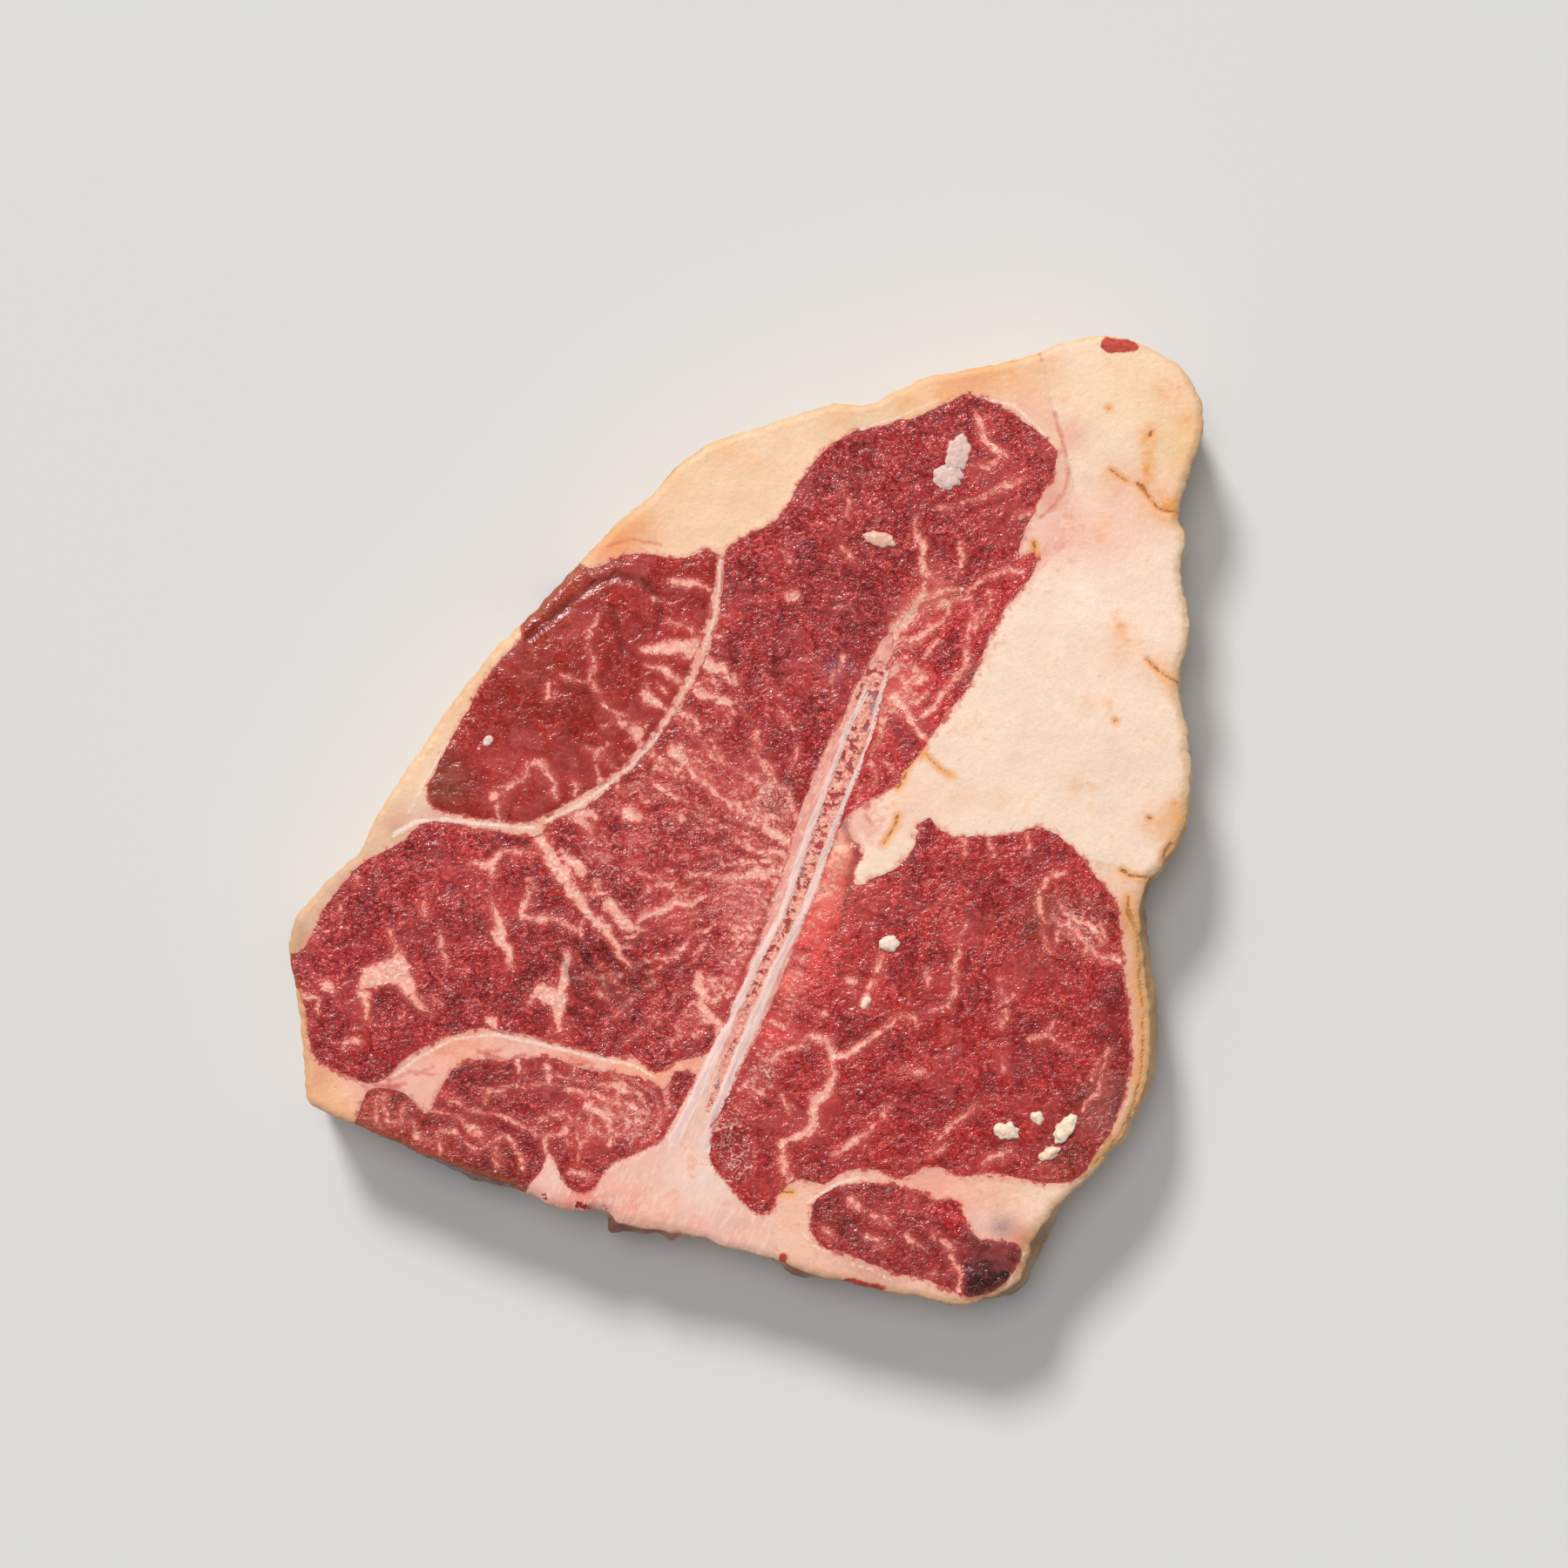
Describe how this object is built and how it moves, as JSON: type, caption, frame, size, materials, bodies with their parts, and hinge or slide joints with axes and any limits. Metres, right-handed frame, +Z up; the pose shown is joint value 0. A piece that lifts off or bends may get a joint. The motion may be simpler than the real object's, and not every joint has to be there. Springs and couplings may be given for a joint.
{
  "type": "raw beef steak",
  "caption": "Thick raw bone-in beef steak cut across the loin: marbled lean either side of a T-shaped bone, held in a cover of fat, lying on one sawn face.",
  "frame": {"origin": "on the table under the middle of the steak", "axes": "+Z up out of the upper sawn face, +Y towards the suet tip beside the loin, +X towards the fillet side"},
  "size_m": [0.239, 0.254, 0.0354],
  "materials": {
    "lean": "moist red lean with fine marbling",
    "fat": "waxy cream fat",
    "bone": "sawn bone, pinkish white with a spongy core"
  },
  "bodies": {
    "root": {"loin": "lean", "fillet": "lean", "outer_eye": "lean", "side_strap": "lean", "chine_muscle": "lean", "chain": "lean", "fat_cover": "fat", "suet": "fat", "fillet_fat": "fat", "chine_fat": "fat", "bone": "bone"}
  },
  "joints": []
}
